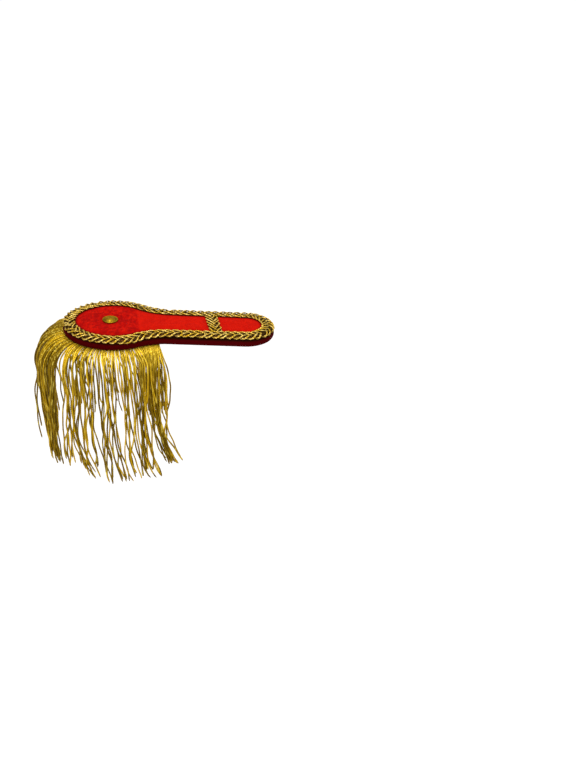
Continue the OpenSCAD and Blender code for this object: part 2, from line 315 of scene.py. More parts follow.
# 1 on the cloth that the gimp hides, painted near black as shade in the plait's gaps, and on a narrow band
# beside it, painted darker as the gimp's shadow
deep_in = np.concatenate([np.repeat(-profile[:, 0], ring_size), top_deep, np.full(len(under_points), 20.0)])
shoulder_foot = board_h - shoulder_r
shade_under_gimp = (1 - ease(deep_in, 10.6, 12.4)) * ease(all_points[:, 2], shoulder_foot, shoulder_foot + 1.8)
shade_beside_gimp = (1 - ease(deep_in, 11.5, 15.0)) * ease(all_points[:, 2], board_h - 1.0, board_h - 0.2)
velvet = build("velvet_cloth", all_points, board_faces,
               {"turned": turned, "shade_under_gimp": shade_under_gimp, "shade_beside_gimp": shade_beside_gimp})

NAP_BRIGHT = (0.48, 0.006, 0.0008, 1)
NAP_MOTTLE_AND_SHADE = (0.20, 0.001, 0.001, 1)
NAP_ROUND_END = (0.38, 0.002, 0.0003, 1)
# A painted shaded copy of the red velvet, for the wall and underside
NAP_SIDE_SHADE = (0.030, 0.0, 0.0008, 1)
NAP_GIMP_SHADOW = (0.010, 0.002, 0.0, 1)
NAP_SHADOW = (0.12, 0.0, 0.0, 1)
# Where the nap turns, how much that line leans and wavers, and how far it is blurred on either side
nap_seam_x = 26.6
nap_seam_lean = 0.16
nap_seam_waver = 4.0
nap_seam_low, nap_seam_high = nap_seam_x - 0.6, nap_seam_x + 2.2
velvet_finish, add, shade = new_finish(
    "red_velvet", roughness=0.9, specular_ior_level=0.02, sheen_weight=0.03, sheen_roughness=0.4,
    sheen_tint=(1.0, 0.16, 0.10, 1))
where = add("TexCoord", {}, output="Object")
where_x = add("SeparateXYZ", {0: where}, output="X")
where_y = add("SeparateXYZ", {0: where}, output="Y")
leaned = add("Math", {0: where_y, 1: nap_seam_lean, 2: where_x}, operation="MULTIPLY_ADD")
waver = add("TexNoise", {"Vector": where, "Scale": 120.0, "Detail": 2.0})
wavering = add("Math", {0: waver, 1: nap_seam_waver * MM, 2: leaned}, operation="MULTIPLY_ADD")
on_strap = band(add, wavering, nap_seam_low * MM, nap_seam_high * MM)
brushed = add("Mapping", {0: where, "Scale": (1.0, 0.7, 1.0)})
patches = add("TexNoise", {"Vector": brushed, "Scale": 95.0, "Detail": 4.0, "Distortion": 0.8})
patches = band(add, patches, 0.38, 0.66)
flecks = band(add, add("TexNoise", {"Vector": brushed, "Scale": 360.0, "Detail": 4.0}), 0.32, 0.72)
strap_nap = blend_of(add, up_to(add, 0.25, patches), NAP_BRIGHT, NAP_ROUND_END)
round_nap = blend_of(add, up_to(add, 0.8, patches), NAP_ROUND_END, NAP_BRIGHT)
round_nap = blend_of(add, up_to(add, 0.7, flecks), round_nap, NAP_MOTTLE_AND_SHADE)
top_nap = blend_of(add, on_strap, round_nap, strap_nap)
top_nap = blend_of(add, up_to(add, 0.25, flecks), top_nap, NAP_MOTTLE_AND_SHADE)
# Painted shadow: a narrow band of the top beside the gimp is darkened, as the gimp's shade; the same dark red
# also mottles the nap
gimp_edge_shade = fact(add, "shade_beside_gimp")
top_nap = blend_of(add, up_to(add, 0.7, gimp_edge_shade), top_nap, NAP_MOTTLE_AND_SHADE)
turned_down = fact(add, "turned")
pile = add("TexNoise", {"Vector": where, "Scale": 2600.0, "Detail": 2.0})
gimp_shadow = fact(add, "shade_under_gimp")
# Painted shade: the wall and underside are darkened, as if the light from above missed them
nap = blend_of(add, band(add, turned_down, 0.05, 0.6), top_nap, NAP_SIDE_SHADE)
nap = blend_of(add, band(add, pile, 0.35, 0.68, 0.42, 0.0), nap, NAP_SHADOW)
# Painted shade: the cloth under the gimp is near black, so the plait's gaps look shadowed
shade({"Base Color": blend_of(add, gimp_shadow, nap, NAP_GIMP_SHADOW)})
soft = add("Bump", {"Strength": 0.35, "Distance": 0.3 * MM, "Height": flecks})
shade({"Normal": add("Bump", {"Strength": 0.5, "Distance": 0.15 * MM, "Height": pile, "Normal": soft})})
velvet.data.materials.append(velvet_finish)
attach(velvet, "root")
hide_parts("velvet_board")

# ---- Border gimp ----
# A flat plait of five strands, each of two cords wrapped in gold wire and twisted together. It is sewn round
# the whole edge, half on top and half over the padded shoulder, and its turned loops scallop both its sides.
gimp_w = 12.6
gimp_in = 11.7
beat = 6.5
strands = 5
cords_a_strand = 2
wire_r = 0.46
wire_flat = 0.42
cord_pitch = 0.86
# How far a strand rises over the others, sinks in mid gimp, and is drawn to a point where it turns back
plait_rise = 0.62
plait_sink = 0.20
plait_point = 0.06
twists_a_beat = 1.6
twist_lift = 0.24
# How unevenly the strands and cords lie along, across and over the gimp
strand_stray, cord_stray, cord_stray_up, cord_seat = 0.26, 0.12, 0.10, 0.05
# How far the middle of the plait lies over the cloth
plait_seat = plait_rise + (plait_sink + wire_r) * 0.6 + twist_lift * 0.4
# How much longer a strand is than its gimp
take_up = 1.25
SIDES = 6
RING_STEP = 0.62


def sweep(paths, lifts, wide, thick, looped=False):
    """Twisted cords along paths, as points, faces and, at each face corner, how far round and along it is.
    paths and lifts are arrays of cords by rings by xyz; a lift is a direction across the cord. The section
    is a slim hexagon that turns by one side at each ring."""
    cords, rings = paths.shape[:2]
    ahead = np.roll(paths, -1, 1) - np.roll(paths, 1, 1)
    if not looped:
        ahead[:, 0] = paths[:, 1] - paths[:, 0]
        ahead[:, -1] = paths[:, -1] - paths[:, -2]
    ahead /= np.linalg.norm(ahead, axis=-1, keepdims=True)
    beside = np.cross(ahead, lifts)
    beside /= np.linalg.norm(beside, axis=-1, keepdims=True)
    over = np.cross(beside, ahead)
    turn = 2 * math.pi / SIDES * np.arange(rings)[None, :, None]
    corner = 2 * math.pi / SIDES * np.arange(SIDES)[None, None]
    flat_x, flat_y = wide[..., None] * np.cos(corner), thick[..., None] * np.sin(corner)
    x = flat_x * np.cos(turn) - flat_y * np.sin(turn)
    y = flat_x * np.sin(turn) + flat_y * np.cos(turn)
    points = paths[:, :, None] + x[..., None] * beside[:, :, None] + y[..., None] * over[:, :, None]
    number = np.arange(cords * rings * SIDES).reshape(cords, rings, SIDES)
    across_next = np.roll(number, -1, 2)
    if looped:
        here, there = number, np.roll(number, -1, 1)
        here_next, there_next = across_next, np.roll(across_next, -1, 1)
    else:
        here, there = number[:, :-1], number[:, 1:]
        here_next, there_next = across_next[:, :-1], across_next[:, 1:]
    faces = np.stack([here, here_next, there_next, there], -1).reshape(-1, 4)
    nexts = np.roll(paths, -1, 1) if looped else paths[:, 1:]
    length = np.linalg.norm(nexts - paths[:, :nexts.shape[1]], axis=-1)
    run_there = np.broadcast_to(np.cumsum(length, 1)[..., None], here.shape)
    run_here = run_there - length[..., None]
    side = np.broadcast_to(np.arange(SIDES) / SIDES, here.shape)
    side_next = side + 1 / SIDES
    uv = np.stack([side, run_here, side_next, run_here, side_next, run_there, side, run_there], -1)
    uv = uv.reshape(-1, 2)
    if not looped:
        # Two four-sided faces close each end
        ends = []
        for ring, order in ((0, (0, 3, 2, 1, 0, 5, 4, 3)), (rings - 1, (0, 1, 2, 3, 0, 3, 4, 5))):
            ends.append(number[:, ring][:, list(order)].reshape(-1, 4))
        faces = np.concatenate([faces, *ends])
        uv = np.concatenate([uv, np.zeros((4 * sum(len(e) for e in ends), 2))])
    return points.reshape(-1, 3), faces, uv


def plait(beats, seed, round_beats=0):
    """Cords of the plait over a run of beats: places across and along it and heights over the cloth, each an
    array of cords by rings. Where the plait closes on itself, round_beats is how many beats it has."""
    random = np.random.default_rng(seed)
    reach = gimp_w / 2 - wire_r - cord_pitch * (cords_a_strand - 1) / 2
    # Where the ripples are read: on a line, or on a ring where the plait closes, so that they meet too
    spot = np.stack([beats, 0 * beats], -1)
    if round_beats:
        spot = round_beats / (2 * math.pi) * facing(beats / round_beats * 2 * math.pi)
    out, on, up = [], [], []
    for strand in range(strands):
        turn = 2 * math.pi * (beats + strand) / strands
        turn = turn + strand_stray * ripple(spot, 5, seed + strand)
        middle = reach * (np.sin(turn) - plait_point * np.sin(3 * turn)) / (1 + plait_point)
        slope = np.gradient(middle, beats * beat, edge_order=2)
        lean = np.hypot(1, slope)
        height = plait_rise * np.sin(2 * turn) - plait_sink * (1 - (middle / reach) ** 2)
        for k in range(cords_a_strand):
            twist = 2 * math.pi * (twists_a_beat * beats + k / cords_a_strand)
            off = cord_pitch / 2 * np.cos(twist) + cord_stray * ripple(spot, 3, seed + 10 * strand + k)
            out.append(middle + off / lean)
            on.append(beats * beat - off * slope / lean)
            up.append(height + twist_lift * np.sin(twist)
                      + cord_stray_up * ripple(spot, 4, seed + 50 + 10 * strand + k)
                      + cord_seat * random.normal())
    return np.array(out), np.array(on), np.array(up) + plait_seat


border_flat = gimp_in - shoulder_r
border_bent = border_flat + shoulder_r * math.pi / 2
# Where the gimp is sewn on askew: places along the edge, and how far its inner and outer sides lie from
# where they lie elsewhere
ASKEW = np.array([
    (-240.0, 0.0, 0.0), (-225.0, 0.3, 0.0), (-207.0, 1.0, -0.4), (-181.0, 1.2, -0.8), (-144.0, 1.8, -1.2),
    (-119.0, 1.6, -0.9), (-105.0, 2.6, -0.3), (-90.0, 3.6, 0.8), (-65.0, 3.2, -0.4), (-53.0, 2.6, 0.0),
    (-40.0, 2.2, 0.0), (-25.0, 1.2, 0.0), (0.0, 0.3, 0.0), (20.0, 0.0, 0.0),
])


def on_shoulder(w, h):
    """Distance out from the edge and height of a point w along the cloth from the gimp's inner side and h
    over it, and the way the cloth faces there."""
    bend = np.clip((w - border_flat) / shoulder_r, 0, math.pi / 2)
    out = np.where(w <= border_flat, w - gimp_in, -shoulder_r + (shoulder_r + h) * np.sin(bend))
    up = np.where(w <= border_flat, board_h + h, board_h - shoulder_r + (shoulder_r + h) * np.cos(bend))
    up = up - np.maximum(w - border_bent, 0)
    return out, up, bend


border_beats = strands * round(2 * half_edge / beat / strands)
border_length = border_beats * beat
border_rings = SIDES * round(2 * half_edge * take_up / RING_STEP / SIDES)


def laid_round(out, on, up):
    """Places on the padded edge, and the ways that the cloth faces there, for places on the plait."""
    d = (on / border_length * 2 - 1) * half_edge
    inner = np.interp(d, ASKEW[:, 0], ASKEW[:, 1])
    outer = gimp_w + np.interp(d, ASKEW[:, 0], ASKEW[:, 2])
    w = inner + (0.5 + out / gimp_w) * (outer - inner)
    place, angle = edge_at(d)
    shoulder_out, shoulder_up, bend = on_shoulder(w, up)
    paths = np.concatenate([place + shoulder_out[..., None] * facing(angle), shoulder_up[..., None]], -1)
    return paths, np.concatenate([np.sin(bend)[..., None] * facing(angle), np.cos(bend)[..., None]], -1)


core_inset = 0.9
core_rows = 8
core_top, core_bottom, core_ridge = 0.40, 0.05, 0.12


def core(lay, length, looped=False):
    """The dark, ridged core threads under a plait, as a thin strip: points and faces. The material paints it
    as the plait's deepest shade, so that the gaps look shadowed.
    """
    half = gimp_w / 2 - core_inset
    out = np.linspace(-half, half, core_rows)
    out = np.concatenate([out, out[::-1]])
    up = np.repeat([core_top, core_bottom], core_rows) + np.tile([0.0, core_ridge], core_rows)
    on = np.arange(0, length, 1.0) if looped else np.linspace(0, length, round(length) + 1)
    out, on, up = np.broadcast_arrays(out, on[:, None], up)
    number = np.arange(out.size).reshape(out.shape)
    rows = (number, np.roll(number, -1, 0)) if looped else (number[:-1], number[1:])
    faces = np.stack([rows[0], rows[1], np.roll(rows[1], -1, 1), np.roll(rows[0], -1, 1)], -1).reshape(-1, 4)
    if not looped:
        caps = [[row[k], row[k + 1], row[-2 - k], row[-1 - k]] for row in (number[0][::-1], number[-1])
                for k in range(core_rows - 1)]
        faces = np.concatenate([faces, caps])
    return lay(out, on, up)[0].reshape(-1, 3), faces


def gimp_piece(name, lay, beats, seed, length, round_beats=0):
    """A length of the plait on its core threads, laid where lay says."""
    out, on, up = plait(beats, seed, round_beats)
    paths, lifts = lay(out, on, up)
    points, faces, uv = sweep(paths, lifts, np.full(out.shape, wire_r), np.full(out.shape, wire_flat),
                              looped=round_beats > 0)
    height = np.repeat(np.clip((up - up.min()) / (up.max() - up.min()), 0, 1), SIDES)
    tone = np.repeat(np.random.default_rng(seed + 1).uniform(0, 1, len(out)), up.shape[1] * SIDES)
    # How far each point turns down over the shoulder, which the material paints darker as shade
    turned = np.repeat(1 - np.broadcast_to(lifts, paths.shape)[..., 2], SIDES)
    core_points, core_faces = core(lay, length, round_beats > 0)
    # The core is given the lowest height, so it takes the plait's painted shade
    of_core = {"height": 0.0, "tone": 0.5, "turned": 0.0}
    facts = {key: np.concatenate([values, np.full(len(core_points), of_core[key])])
             for key, values in (("height", height), ("tone", tone), ("turned", turned))}
    return build(name, np.concatenate([points, core_points]),
                 np.concatenate([faces, core_faces + len(points)]), facts,
                 np.concatenate([uv, np.zeros((core_faces.size, 2))]))


beats = np.arange(border_rings) / border_rings * border_beats
border = gimp_piece("gimp_border", laid_round, beats, 11, border_length, round_beats=border_beats)


def wound(add, pitch):
    """Wire or thread wound slantwise round a cord, as a height that goes up to 1 and down to 0 along it."""
    run = add("UVMap", {}, uv_map="run")
    round_it = add("SeparateXYZ", {0: run}, output="X")
    along_it = add("SeparateXYZ", {0: run}, output="Y")
    turns = add("Math", {0: along_it, 1: 1 / pitch, 2: round_it}, operation="MULTIPLY_ADD")
    return add("Math", {0: turns, 1: 1.0}, operation="PINGPONG")


GIMP_GOLD = (0.62, 0.375, 0.014, 1)
GIMP_HIGHLIGHT = (1.0, 0.76, 0.22, 1)
GIMP_DULL_AND_SHADE = (0.25, 0.145, 0.012, 1)
GIMP_SHADE = (0.030, 0.009, 0.0, 1)
wrap_pitch = 0.32
gimp_finish, add, shade = new_finish(
    "gimp_wire", metallic=0.85, roughness=0.4, specular_tint=(1.0, 0.85, 0.5, 1))
wire = wound(add, wrap_pitch)
where = add("TexCoord", {}, output="Object")
# Painted highlights: pale spots scattered by noise over the gold
pale_spots = add("TexNoise", {"Vector": where, "Scale": 260.0, "Detail": 3.0})
height = fact(add, "height")
tone = fact(add, "tone")
gold_and_highlights = blend_of(add, band(add, pale_spots, 0.35, 0.7), GIMP_GOLD, GIMP_HIGHLIGHT)
toned = blend_of(add, up_to(add, 0.35, tone), gold_and_highlights, GIMP_DULL_AND_SHADE)
# Painted shade: the gimp is darker where it turns down over the shoulder, away from the light
turned = fact(add, "turned")
toned = blend_of(add, band(add, turned, 0.0, 0.6, 0.0, 0.15), toned, GIMP_DULL_AND_SHADE)
# Painted shade: the lower parts of the plait and its core darken, as shade in its hollows
shaded_low = blend_of(add, band(add, height, 0.15, 0.74), GIMP_SHADE, toned)
# Painted shade in the grooves between the wire's wraps
shade({"Base Color": blend_of(add, band(add, wire, 0.0, 0.5, 0.35, 0.0), shaded_low, GIMP_SHADE)})
shade({"Normal": add("Bump", {"Strength": 0.6, "Distance": 0.06 * MM, "Height": wire})})
border.data.materials.append(gimp_finish)
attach(border, "root")
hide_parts("border_gimp")

# ---- Cross gimp ----
# A short length of the same plait, sewn askew across the strap. Its ends are tucked in under the inner loops
# of the border.
cross_half = 15.8
# How far in its ends begin to be tucked, how far down they go, and how much narrower and flatter they are
cross_tuck = 2.6
cross_sink = 0.3
tucked_in, tucked_flat = 0.12, 0.35


def laid_across(out, on, up):
    """Places across the strap, and the way up, for places on the plait."""
    y = on - cross_half
    tucked = ease(np.abs(y), cross_half - cross_tuck, cross_half)
    paths = np.stack([cross_x - y * cross_skew + out * (1 - tucked_in * tucked), y,
                      board_h + up * (1 - tucked_flat * tucked) - cross_sink * tucked], -1)
    return paths, np.broadcast_to([0.0, 0.0, 1.0], paths.shape)


cross_length = 2 * cross_half
beats = np.linspace(0, cross_length / beat, round(cross_length * take_up / RING_STEP))
crossing_gimp = gimp_piece("gimp_across_strap", laid_across, beats, 23, cross_length)
crossing_gimp.data.materials.append(gimp_finish)
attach(crossing_gimp, "root")
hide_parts("cross_gimp")

# ---- Button ----
# A stamped brass button, old and dull, with a low domed face inside a rolled rim. It is sewn down through
# the board.
button_seat = board_h + 0.3
rim_roll = 0.75
rim_r = button_r - rim_roll
groove_w = 0.25
groove_r = rim_r - rim_roll - groove_w
button_top = 2.9
face_rise = 1.9
face_ball = (groove_r ** 2 + face_rise ** 2) / (2 * face_rise)
# Radii and heights over the flat back, round the rolled rim, down into the groove and over the domed face
button_profile = np.concatenate([
    [[0.0, 0.0], [rim_r * 0.5, 0.0], [rim_r - 0.2, 0.0]],
    [[rim_r + rim_roll * math.cos(a), rim_roll + rim_roll * math.sin(a)]
     for a in np.radians(np.linspace(-90, 165, 16))],
    [[groove_r + 0.10, rim_roll + 0.28], [groove_r, button_top - face_rise + 0.02]],
    [[r, button_top - face_ball + math.sqrt(face_ball ** 2 - r ** 2)]
     for r in groove_r * np.linspace(1, 0, 14)[1:-1]],
    [[0.0, button_top]],
])


def lathe(profile, sides):
    """A closed turned form about Z from a profile of radii and heights that starts and ends on the axis."""
    turn = 2 * math.pi * np.arange(sides) / sides
    rings = profile[1:-1]
    points = np.stack([rings[:, :1] * np.cos(turn), rings[:, :1] * np.sin(turn),
                       np.broadcast_to(rings[:, 1:], (len(rings), sides))], -1).reshape(-1, 3)
    number = np.arange(len(points)).reshape(len(rings), sides)
    beside = np.roll(number, -1, 1)
    bottom, top = len(points), len(points) + 1
    faces = np.stack([number[:-1], beside[:-1], beside[1:], number[1:]], -1).reshape(-1, 4).tolist()
    faces += [[bottom, b, a] for a, b in zip(number[0], beside[0])]
    faces += [[top, a, b] for a, b in zip(number[-1], beside[-1])]
    return np.concatenate([points, [[0, 0, profile[0, 1]], [0, 0, profile[-1, 1]]]]), faces


button_sides = 96
points, faces = lathe(button_profile + [0, button_seat], button_sides)
stud = build("brass_button", points, faces)
BRASS = (0.29, 0.175, 0.006, 1)
BRASS_DULL = (0.125, 0.072, 0.002, 1)
BRASS_SPECK = (0.075, 0.04, 0.004, 1)
BRASS_GRIME = (0.03, 0.016, 0.003, 1)
brass_finish, add, shade = new_finish(
    "old_brass", metallic=0.85, roughness=0.46, specular_tint=(1.0, 0.75, 0.3, 1))
where = add("TexCoord", {}, output="Object")
patina = add("TexNoise", {"Vector": where, "Scale": 260.0, "Detail": 4.0, "Distortion": 0.4})
patina = band(add, patina, 0.36, 0.66)
specks = band(add, add("TexNoise", {"Vector": where, "Scale": 1500.0, "Detail": 2.0}), 0.45, 0.75)
metal = blend_of(add, patina, BRASS, BRASS_DULL)
metal = blend_of(add, up_to(add, 0.5, specks), metal, BRASS_SPECK)
from_axis = add("VectorMath", {0: where, 1: (1, 1, 0)}, operation="MULTIPLY")
from_axis = add("VectorMath", {0: from_axis}, output="Value", operation="LENGTH")
# Grime lies in the groove between the face and the rim
into_groove = band(add, from_axis, 4.9 * MM, 5.45 * MM)
out_of_groove = band(add, from_axis, 5.6 * MM, 6.1 * MM, 1, 0)
grime = add("Math", {0: into_groove, 1: out_of_groove}, operation="MULTIPLY")
shade({"Base Color": blend_of(add, up_to(add, 0.5, grime), metal, BRASS_GRIME),
       "Roughness": band(add, patina, 0.0, 1.0, 0.36, 0.58),
       "Normal": add("Bump", {"Strength": 0.3, "Distance": 0.1 * MM, "Height": specks})})
stud.data.materials.append(brass_finish)
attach(stud, "root")
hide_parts("button")

# ---- Cord fringe ----
# A fringe of twisted two-ply cords of gilt thread. Their heads are woven into a ribbed tape, sewn under the
# round end. They spread as they bend down over the edge, and hang in loose clumps that lean one way.
tape_low, tape_top, tape_outer, tape_inner = -2.0, -0.35, -2.0, -9.0
fringe_front, fringe_back = -117.0, 104.0
rib, rib_depth = 1.3, 0.16
tape_d = np.linspace(fringe_front, fringe_back, round((fringe_back - fringe_front) / (rib / 4)) + 1)
mid_z, half_t = (tape_low + tape_top) / 2, (tape_top - tape_low) / 2
ribs = rib_depth * (np.cos(2 * math.pi * tape_d / rib) - 1)
# The tape's section, as places out from the edge and shares of half its thickness: its underside, and back
# over its top
tape_round = 0.4
section = [(tape_outer, -0.6), (tape_outer - tape_round, -1), ((tape_outer + tape_inner) / 2, -1),
           (tape_inner + tape_round, -1), (tape_inner, -0.6)]
section += [(o, -t) for o, t in section[::-1]]
place, angle = edge_at(tape_d)
rings = np.stack([
    np.concatenate([place + o * facing(angle), (mid_z + t * (half_t + ribs))[:, None]], -1)
    for o, t in section], 1)
number = np.arange(rings.shape[0] * len(section)).reshape(rings.shape[0], -1)
beside = np.roll(number, -1, 1)
faces = np.stack([number[:-1], beside[:-1], beside[1:], number[1:]], -1).reshape(-1, 4).tolist()
faces += [number[0][::-1].tolist(), number[-1].tolist()]
tape = build("fringe_tape", rings.reshape(-1, 3), faces)
# The tape's colours are painted dark, as shade, so that it shows as shade between the cords' heads
TAPE_SHADE_DARK = (0.10, 0.05, 0.006, 1)
TAPE_SHADE_PALE = (0.22, 0.125, 0.015, 1)
tape_finish, add, shade = new_finish("woven_tape", roughness=0.8, specular_ior_level=0.3)
where = add("TexCoord", {}, output="Object")
weave = add("TexNoise", {"Vector": where, "Scale": 1400.0, "Detail": 2.0})
shade({"Base Color": blend_of(add, band(add, weave, 0.35, 0.65), TAPE_SHADE_DARK, TAPE_SHADE_PALE),
       "Normal": add("Bump", {"Strength": 0.5, "Distance": 0.1 * MM, "Height": weave})})
tape.data.materials.append(tape_finish)
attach(tape, "root")
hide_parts("cord_fringe")

# How far apart cords stand where a clump's FULL is 1, their section, their length below the tape and how
# much of them it hides, how widely they bend down at the sides and at the round end, and how they lean
cord_step = 1.24
cord_wide, cord_thick = 0.80, 0.66
cord_length = 127.0
hidden = 3.0
flare_side, flare_end = 14.0, 31.5
hang_lean = math.tan(math.radians(6))
cord_ring = 0.70
cord_rings = round((hidden + cord_length) / cord_ring)

# Clumps that the cords gather into as they hang. The columns are where a clump starts and ends along the
# heading, how closely its cords stand, how far down it is tightest, its width there and at its tips as shares
# of its width at the heading, how far it has swayed towards the front end of the heading at each third of its
# hang, how far out it hangs at its tips, its length, and how much darker its cords are painted, mostly as
# shade.
FROM, TO, FULL, KNOT, HELD, FAN, SWAY, OUT, LONG, SHADED = 0, 1, 2, 3, 4, 5, 6, 9, 10, 11
CLUMPS = [
    (-117.0, -115.0, 1.0, 0.5, 1.0, 0.8, 6.0, 1.0, -8.0, 0.0, 0.92, 0.1),
    (-115.0, -102.0, 1.9, 0.55, 0.75, 1.3, -4.0, -3.0, 6.0, 0.0, 0.99, 0.3),
    (-102.0, -93.0, 1.2, 0.60, 0.50, 0.8, -5.0, -8.0, 0.0, 0.0, 1.07, 0.2),
    (-93.0, -84.0, 0.85, 0.60, 0.40, 0.6, -2.0, -3.0, -3.0, 0.0, 1.04, 0.1),
    (-84.0, -75.0, 0.85, 0.80, 0.35, 0.2, -1.0, -2.5, 1.0, 0.0, 1.08, 0.1),
    (-75.0, -66.0, 0.85, 0.90, 0.45, 0.25, -2.0, -4.0, 0.0, 0.0, 1.09, 0.0),
    (-66.0, -59.0, 0.85, 0.80, 0.50, 0.3, -1.0, -4.0, -4.0, 0.0, 1.10, 0.0),
    (-59.0, -50.0, 0.9, 0.50, 0.45, 0.6, -1.0, -3.0, -5.0, 0.0, 1.03, 0.0),
    (-50.0, -42.0, 1.0, 0.50, 0.45, 0.8, 0.0, -4.0, 6.0, 0.0, 1.08, 0.0),
    (-42.0, -32.0, 1.2, 0.45, 0.50, 1.4, 4.0, 0.0, -2.0, 0.0, 1.04, 0.0),
    (-32.0, -8.0, 1.8, 0.85, 0.45, 0.52, 0.0, 0.0, -1.0, 2.5, 1.08, 0.05),
    (-8.0, 2.0, 1.9, 0.90, 0.50, 0.45, 4.0, 8.0, 10.0, -5.0, 1.05, 0.15),
    (2.0, 5.0, 1.2, 0.50, 0.80, 1.2, 2.0, 4.0, 6.0, 12.0, 1.05, 0.1),
    (5.0, 12.0, 1.7, 0.60, 0.50, 0.6, 0.0, 3.0, 4.0, -1.0, 1.03, 0.0),
    (12.0, 28.0, 1.4, 0.45, 0.40, 0.5, 4.0, 7.0, 8.0, 9.0, 1.02, 0.1),
    (28.0, 38.0, 1.1, 0.50, 0.50, 0.6, -2.0, -3.0, -3.0, 0.0, 1.00, 0.25),
    (38.0, 47.0, 0.75, 0.55, 0.50, 0.6, 0.0, -1.0, 1.0, 0.0, 1.02, 0.25),
    (47.0, 57.0, 0.75, 0.55, 0.50, 0.6, 0.0, -1.0, -2.0, 0.0, 0.98, 0.25),
    (57.0, 67.0, 0.75, 0.60, 0.50, 0.6, 0.0, 1.0, 2.0, 0.0, 1.02, 0.25),
    (67.0, 77.0, 0.75, 0.50, 0.60, 0.6, 0.0, -1.0, -1.0, 0.0, 1.00, 0.25),
    (77.0, 86.0, 0.75, 0.60, 0.50, 0.6, 0.0, 0.0, -2.0, 0.0, 1.03, 0.25),
    (86.0, 95.0, 1.0, 0.50, 0.60, 0.6, 0.0, 0.0, 2.0, 0.0, 0.98, 0.25),
    (95.0, 104.0, 1.1, 0.55, 0.60, 0.6, 0.0, 0.0, 0.0, 0.0, 1.00, 0.25),
]


def hung(d, length, flare, z):
    """Paths of cords from inside the tape, over the bend and down: places, the ways along the heading and
    out, and how far down its hang each place is, from 0 to 1."""
    place, angle = edge_at(d)
    outward = np.pad(facing(angle), ((0, 0), (0, 1)))
    sideways = np.pad(facing(angle + math.pi / 2), ((0, 0), (0, 1)))
    share = np.linspace(0, 1, cord_rings)[None]
    run = share * (hidden + length)[:, None]
    bend = np.clip((run - hidden) / flare[:, None], 0, math.pi / 2)
    out = tape_outer - hidden + np.minimum(run, hidden) + flare[:, None] * np.sin(bend)
    straight = np.maximum(run - hidden - flare[:, None] * math.pi / 2, 0)
    down = flare[:, None] * (1 - np.cos(bend)) + straight
    path = np.pad(place, ((0, 0), (0, 1)))[:, None] + out[..., None] * outward[:, None]
    path[..., 0] += down * hang_lean
    path[..., 2] = z[:, None] - down
    return path, sideways[:, None], outward[:, None], down / down[:, -1:]


def flare_at(d):
    """How widely the cords bend down: most at the round end, and on a little past it at the back."""
    turn = math.pi - edge_at(d)[1] % (2 * math.pi)
    quarter, at_back, as_at_end = math.pi / 2, 0.6, 0.15
    off = np.interp(turn, [-quarter, 0, at_back, quarter], [-quarter, 0, as_at_end, quarter])
    return flare_side + (flare_end - flare_side) * np.maximum(0, np.cos(off))


# How much the cords differ: in how evenly they stand, how widely they bend down, how long they are (shorter
# at the back), and how high they leave the tape
place_stray = 0.25
flare_least, flare_most = 0.92, 1.07
back_from = 40
length_least, length_least_back, length_most = 0.93, 0.84, 1.015
root_stray = 0.1
# Every other cord leaves the tape lower and bends down sooner, under the bright ones
under_drop, under_flare = 0.8, 0.09

random = np.random.default_rng(40)
table = np.array(CLUMPS)
counts = np.cumsum((table[:, TO] - table[:, FROM]) * table[:, FULL]) / cord_step
cord_count = int(counts[-1])
cord_d = np.interp(np.arange(cord_count) + 0.5 + random.uniform(-place_stray, place_stray, cord_count),
                   [0, *counts], [fringe_front, *table[:, TO]])
clump = table[np.searchsorted(table[:, TO], cord_d).clip(0, len(table) - 1)]
under = np.arange(cord_count) % 2
flare = flare_at(cord_d) * (random.uniform(flare_least, flare_most, cord_count) - under_flare * under)
shortest = np.where(cord_d > back_from, length_least_back, length_least)
length = cord_length * clump[:, LONG] * random.uniform(shortest, length_most)
z_root = mid_z + under_drop * (0.5 - under) + random.uniform(-root_stray, root_stray, cord_count)
paths, sideways, outward, low = hung(cord_d, length, flare, z_root)

# A clump draws its cords towards its own axis, and then lets them fan out again
axis_d = (clump[:, FROM] + clump[:, TO]) / 2
axis, axis_side, axis_out, _ = hung(axis_d, length, flare_at(axis_d), z_root)
at_end = np.maximum(0, -np.cos(edge_at(cord_d)[1]))
knot, held, fan = (clump[:, k, None] for k in (KNOT, HELD, FAN))
spread = 1 + (held - 1) * ease(low, 0.0, knot) + (fan - held) * ease(low, knot, 1.0)
# Strays are the share of the cords that keep away from their clump, by how much, and how far they drift
stray_share, stray_apart, stray_drift = 0.20, 0.6, 8.0
stray = random.uniform(0, 1, cord_count) < stray_share
spread = np.where(stray[:, None], stray_apart + (1 - stray_apart) * spread, spread)
paths += (1 - spread)[..., None] * (axis - paths) * [1, 1, 0]
# The clump's sway is a curve through 0 at its heads and the table's three places below them
thirds = (13.5 * low * (low - 2 / 3) * (low - 1), -13.5 * low * (low - 1 / 3) * (low - 1),
          4.5 * low * (low - 1 / 3) * (low - 2 / 3))
sway = sum(clump[:, SWAY + k, None] * thirds[k] for k in range(3))
